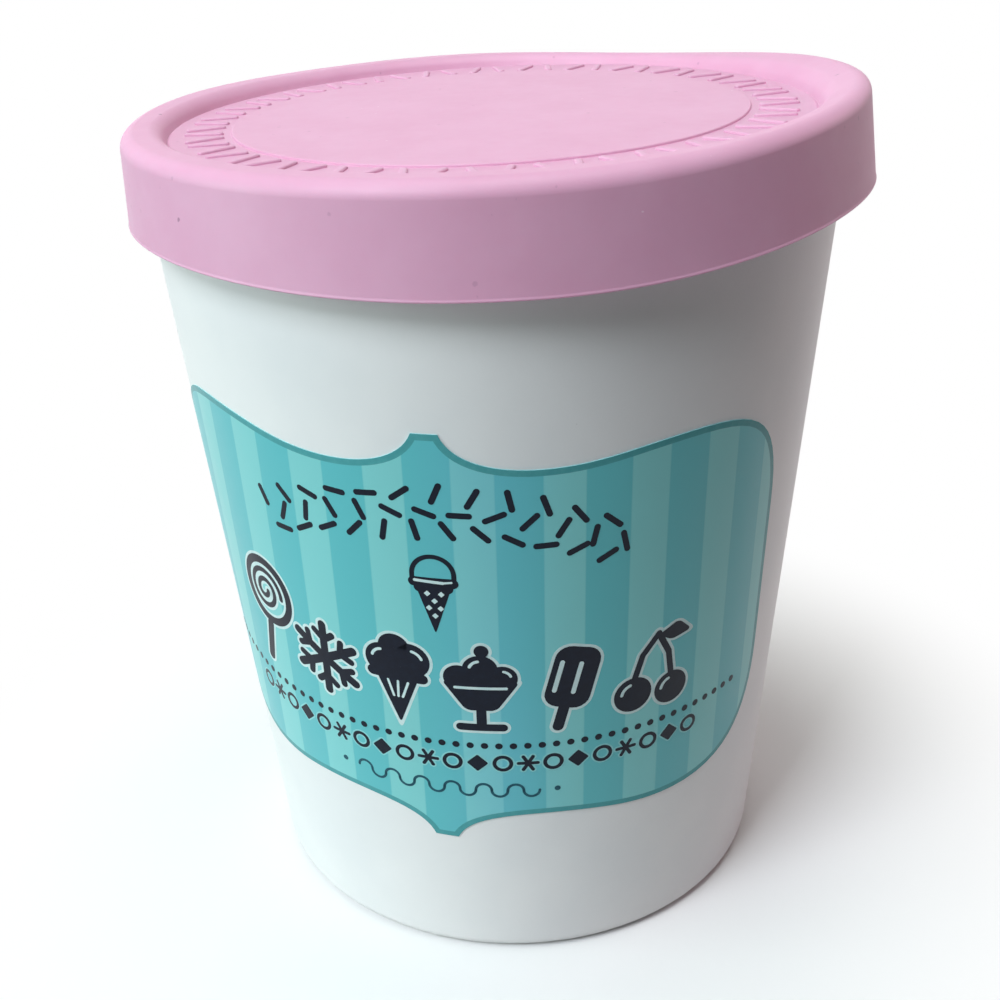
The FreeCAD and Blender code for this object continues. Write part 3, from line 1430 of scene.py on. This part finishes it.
    def swirl_lolly(self, art: FlatArt, at: Point) -> None:
        """Draws a round lolly with a spiral of half rings in it.

        Args:
            art: The shapes that it adds to.
            at: The motif's place.
        """
        x, y = at
        art.band(at, 5.9, 1.5, 0, 360)
        halves = (4.0, 3.1, 2.2, 1.3)
        for index, radius in enumerate(halves):
            shift = halves[1] - halves[0] if index % 2 else 0.0
            art.band((x + shift, y), radius, 0.95, 180 * index, 180 * index + 180)
        art.stroke((x - 0.5, y - 7.0), (x - 2.1, y - 14.8), 1.7)

    def snow_star(self, art: FlatArt, at: Point) -> None:
        """Draws a six-armed snow star.

        Args:
            art: The shapes that it adds to.
            at: The motif's place.
        """
        for angle in range(30, 390, 60):
            art.stroke(at, polar(at, 6.6, angle), 1.6)
            fork = polar(at, 3.6, angle)
            for side in (-52, 52):
                art.stroke(fork, polar(fork, 2.3, angle + side), 1.25)

    def two_scoops(self, art: FlatArt, at: Point) -> None:
        """Draws a cone with two scoops.

        Args:
            art: The shapes that it adds to.
            at: The motif's place.
        """
        art.balls(at, ((-2.1, 3.0, 3.1), (2.4, 3.6, 3.3), (-0.1, 5.6, 2.7)))
        art.stroke(*moved([(-4.1, 0.3), (4.3, 0.3)], at), 1.9)
        art.polygon(moved([(0.2, -9.2), (3.7, 0.2), (-3.5, 0.2)], at), 0.7)

    def sundae(self, art: FlatArt, at: Point) -> None:
        """Draws a sundae in a footed bowl.

        Args:
            art: The shapes that it adds to.
            at: The motif's place.
        """
        art.balls(at, ((-3.4, 2.4, 2.4), (0.0, 4.0, 2.8), (3.4, 2.4, 2.4)))
        art.disc((at[0] + 0.3, at[1] + 7.6), 1.15)
        art.polygon(moved([(-2.4, -3.9), (2.4, -3.9), (6.1, 1.7), (-6.1, 1.7)], at), 0.9)
        art.polygon(moved([(-0.8, -6.8), (0.8, -6.8), (0.8, -3.5), (-0.8, -3.5)], at))
        art.stroke(*moved([(-3.4, -7.3), (3.4, -7.3)], at), 1.4)

    def ice_lolly(self, art: FlatArt, at: Point) -> None:
        """Draws an ice lolly that leans to the right.

        Args:
            art: The shapes that it adds to.
            at: The motif's place.
        """
        lean = Matrix.Rotation(math.radians(-14), 2)
        body = [(-3.7, -4.4), (3.7, -4.4), (3.7, 7.2), (-3.7, 7.2)]
        stick = [(0.0, -4.0), (0.0, -8.2)]
        body, stick = (
            [tuple(Vector(at) + lean @ Vector(point)) for point in points] for points in (body, stick)
        )
        art.polygon(body, 2.4)
        art.stroke(*stick, 1.8)

    def cherries(self, art: FlatArt, at: Point) -> None:
        """Draws a pair of cherries with a leaf.

        Args:
            art: The shapes that it adds to.
            at: The motif's place.
        """
        art.balls(at, ((-3.4, -4.0, 3.3), (3.6, -4.9, 3.1)))
        joint = (0.9, 6.6)
        art.path(moved([(-3.2, -1.0), (-1.9, 3.2), joint], at), 1.1)
        art.path(moved([(3.5, -2.0), (2.9, 2.4), joint], at), 1.1)
        art.polygon(moved([(0.9, 6.3), (3.3, 4.5), (7.2, 5.2), (4.6, 7.9)], at), 0.9)

    def dots(self, art: FlatArt) -> None:
        """Draws the dotted line."""
        for index in range(-self.dots_each_side, self.dots_each_side + 1):
            art.disc((index * self.dot_pitch, self.dot_height), self.dot_radius, COARSE_ROUND)

    def ornaments(self, art: FlatArt) -> None:
        """Draws a row of rings, small stars and diamonds.

        Args:
            art: The shapes that it adds to.
        """
        for index in range(self.row_count):
            across = self.row_half * (2 * index / (self.row_count - 1) - 1) + self.row_shift
            centre = (across, self.row_height)
            if index % 2 == 0:
                art.band(centre, self.ring_radius, self.ring_line, 0, 360)
            elif index % 4 == 1:
                for angle in (0, 60, 120):
                    ends = (polar(centre, self.star_reach, angle + half) for half in (0, 180))
                    art.stroke(*ends, self.star_line)
            else:
                art.polygon(diamond(centre, self.diamond_reach), 0.25)

    def wave(self, art: FlatArt) -> None:
        """Draws a slim wavy line with a dot at each end.

        Args:
            art: The shapes that it adds to.
        """
        pitch = 2 * self.wave_half / self.wave_count
        for index in range(self.wave_count):
            middle = -self.wave_half + pitch * (index + 0.5)
            start = 180 * (index % 2)
            art.band((middle, self.wave_height), pitch / 2, self.wave_line, start, start + 180)
        end = self.wave_half + self.wave_gap
        for across in (-end, end):
            art.disc((across, self.wave_height), self.wave_dot, COARSE_ROUND)

    def pale_details(self, art: FlatArt) -> None:
        """Draws the pale waffle, lines and lights inside the motifs.

        Args:
            art: The shapes that it adds to.
        """
        for centre in moved(self.waffle, (self.cone_middle, 0.0)):
            art.polygon(diamond(centre, self.waffle_reach), 0.1)
        for line in self.pale_lines:
            art.stroke(*line)
        for arc in self.pale_arcs:
            art.band(*arc)


# -------------------------------------------------------------------------- the camera


@dataclass(frozen=True)
class Viewpoint:
    """The camera: where it stands, what it looks at and how it leans."""

    distance: float = 0.245
    elevation: float = 25.15
    pivot_height: float = 0.070
    aim: tuple[float, float, float] = (-0.01197, 0.0, 0.06637)
    roll: float = -3.65
    lens: float = 47.47
    shift_x: float = 0.06
    nearest: float = 0.01
    farthest: float = 20.0

    def make(self) -> bpy.types.Object:
        """Creates the camera and makes it the scene's.

        Returns:
            The camera.
        """
        rise = math.radians(self.elevation)
        eye = Vector((0, -math.cos(rise), math.sin(rise))) * self.distance
        eye.z += self.pivot_height
        forward = (Vector(self.aim) - eye).normalized()
        level = forward.cross(Vector((0, 0, 1))).normalized()
        upward = level.cross(forward)
        lean = math.radians(self.roll)
        right = level * math.cos(lean) + upward * math.sin(lean)
        top = upward * math.cos(lean) - level * math.sin(lean)
        turn = Matrix((right, top, -forward)).transposed().to_4x4()
        data = bpy.data.cameras.new("viewpoint")
        data.lens = self.lens
        data.shift_x = self.shift_x
        data.clip_start = self.nearest
        data.clip_end = self.farthest
        camera = bpy.data.objects.new("viewpoint", data)
        camera.matrix_world = Matrix.Translation(eye) @ turn
        bpy.context.scene.collection.objects.link(camera)
        bpy.context.scene.camera = camera
        return camera


@dataclass(frozen=True)
class Softbox:
    """One large, soft lamp. A lamp that isn't mirrored adds light but no glare."""

    name: str
    place: tuple[float, float, float]
    size: tuple[float, float]
    power: float
    colour: Colour
    mirrored: bool = True

    def make(self, target: Vector) -> bpy.types.Object:
        """Creates the lamp and points it at the target.

        Args:
            target: The place that it lights.

        Returns:
            The lamp.
        """
        data = bpy.data.lights.new(self.name, "AREA")
        data.shape = "RECTANGLE"
        data.size, data.size_y = self.size
        data.energy = self.power
        data.color = self.colour
        lamp = bpy.data.objects.new(self.name, data)
        lamp.location = self.place
        lamp.visible_glossy = self.mirrored
        lamp.rotation_euler = (target - lamp.location).to_track_quat("-Z", "Y").to_euler()
        bpy.context.scene.collection.objects.link(lamp)
        return lamp


@dataclass
class Studio:
    """Pale floor, pale surroundings and soft lamps."""

    fill: Colour = (0.0, 0.0, 0.0)
    floor_half: float = 3.0
    floor_gap: float = 0.05 * MM
    shade_radius: float = 0.055
    clear_radius: float = 0.13
    table_radius: float = 0.08
    table_end: float = 0.26
    table: Colour = (0.64, 0.61, 0.605)
    beyond: Colour = (0.12, 0.12, 0.12)
    pale: Colour = (0.92, 0.92, 0.92)
    grain: Noise = Noise(1.5 * MM)
    relief: float = 0.02 * MM
    lamps: tuple[Softbox, ...] = (
        Softbox("window", (-1.417, -0.380, 0.382), (0.9, 0.9), 12.3, (0.80, 1.0, 0.95)),
        Softbox("front", (-0.667, -0.794, 1.221), (0.6, 0.6), 16.2, (0.89, 0.94, 1.0)),
        Softbox("ceiling", (0.0, -0.052, 1.569), (0.9, 0.9), 11.2, (0.92, 1.0, 0.95)),
        Softbox("warm_wall", (1.324, 0.482, 0.583), (0.9, 0.9), 4.1, (1.0, 0.64, 0.68)),
        Softbox("back", (-0.2, 1.35, 0.36), (0.9, 0.6), 5.0, (1.0, 1.0, 1.0), False),
    )

    def make(self) -> None:
        """Creates the surroundings, the floor and the lamps."""
        scene = bpy.context.scene
        scene.view_settings.view_transform = "Standard"
        self._surroundings(scene)
        self._floor()
        low, high = CAD_BOUNDS
        for lamp in self.lamps:
            lamp.make((low + high) / 2)

    def _surroundings(self, scene: bpy.types.Scene) -> None:
        """Lights the object with a plain fill, and shows white behind it.

        Args:
            scene: The scene, which gets a new world.
        """
        scene.world = bpy.data.worlds.new("surroundings")
        scene.world.use_nodes = True
        board = Board(scene.world.node_tree)
        plain = board.node("ShaderNodeBackground", {}, {"Color": _four(self.fill)})
        white = board.node("ShaderNodeBackground", {}, {"Color": WHITE})
        both = board.mix(board.seen(), plain, white)
        board.node("ShaderNodeOutputWorld", {}, {"Surface": both.outputs[0]})

    def _floor(self) -> None:
        """Makes the floor, which keeps the shadow and clears to white away from it.

        Light bounces off it mostly close to the tub, as off a small pale table.
        """
        mesh = bmesh.new()
        bmesh.ops.create_grid(mesh, x_segments=2, y_segments=2, size=self.floor_half)
        bmesh.ops.translate(mesh, vec=(0, 0, -self.floor_gap), verts=mesh.verts[:])
        material, board = new_board("pale_floor")
        length = board.node("ShaderNodeVectorMath", {"operation": "LENGTH"}, {0: board.place()})
        distance = Value(board, length.outputs["Value"])
        shown = board.seen()
        tilt = board.bump(board.noise(self.grain), self.relief)
        table, beyond, pale = (
            board.node("ShaderNodeBsdfDiffuse", {}, {"Color": _four(colour), "Normal": tilt})
            for colour in (self.table, self.beyond, self.pale)
        )
        glow = board.node("ShaderNodeEmission", {}, {"Color": WHITE, "Strength": 1.0})
        far = distance.ramp(self.table_radius, self.table_end)
        away = distance.ramp(self.shade_radius, self.clear_radius)
        matt = board.mix(shown, board.mix(far, table, beyond), pale)
        both = board.mix(away * shown, matt, glow)
        board.node("ShaderNodeOutputMaterial", {}, {"Surface": both.outputs[0]})
        finish_mesh("pale_floor", mesh, material)


def main() -> None:
    """Builds the studio, the cup, the lid and the label in order."""
    logging.basicConfig(level=logging.INFO, format="%(message)s")
    Viewpoint().make()
    Studio().make()
    cup = Cup()
    cup.build(CUP_PLASTIC.make())
    Lid(cup).build(LID_SILICONE.make())
    wrap = WallWrap(cup)
    inks = Inks(
        film=StripedFilm().make(),
        fringe=FRINGE.make(),
        edge=EDGE_TEAL.make(),
        navy=NAVY.make(),
        slim=SLIM_NAVY.make(),
        keyline=KEYLINE.make(),
    )
    Plaque().build(wrap, inks)
    LabelPrint().build(wrap, inks)


if __name__ == "__main__":
    main()
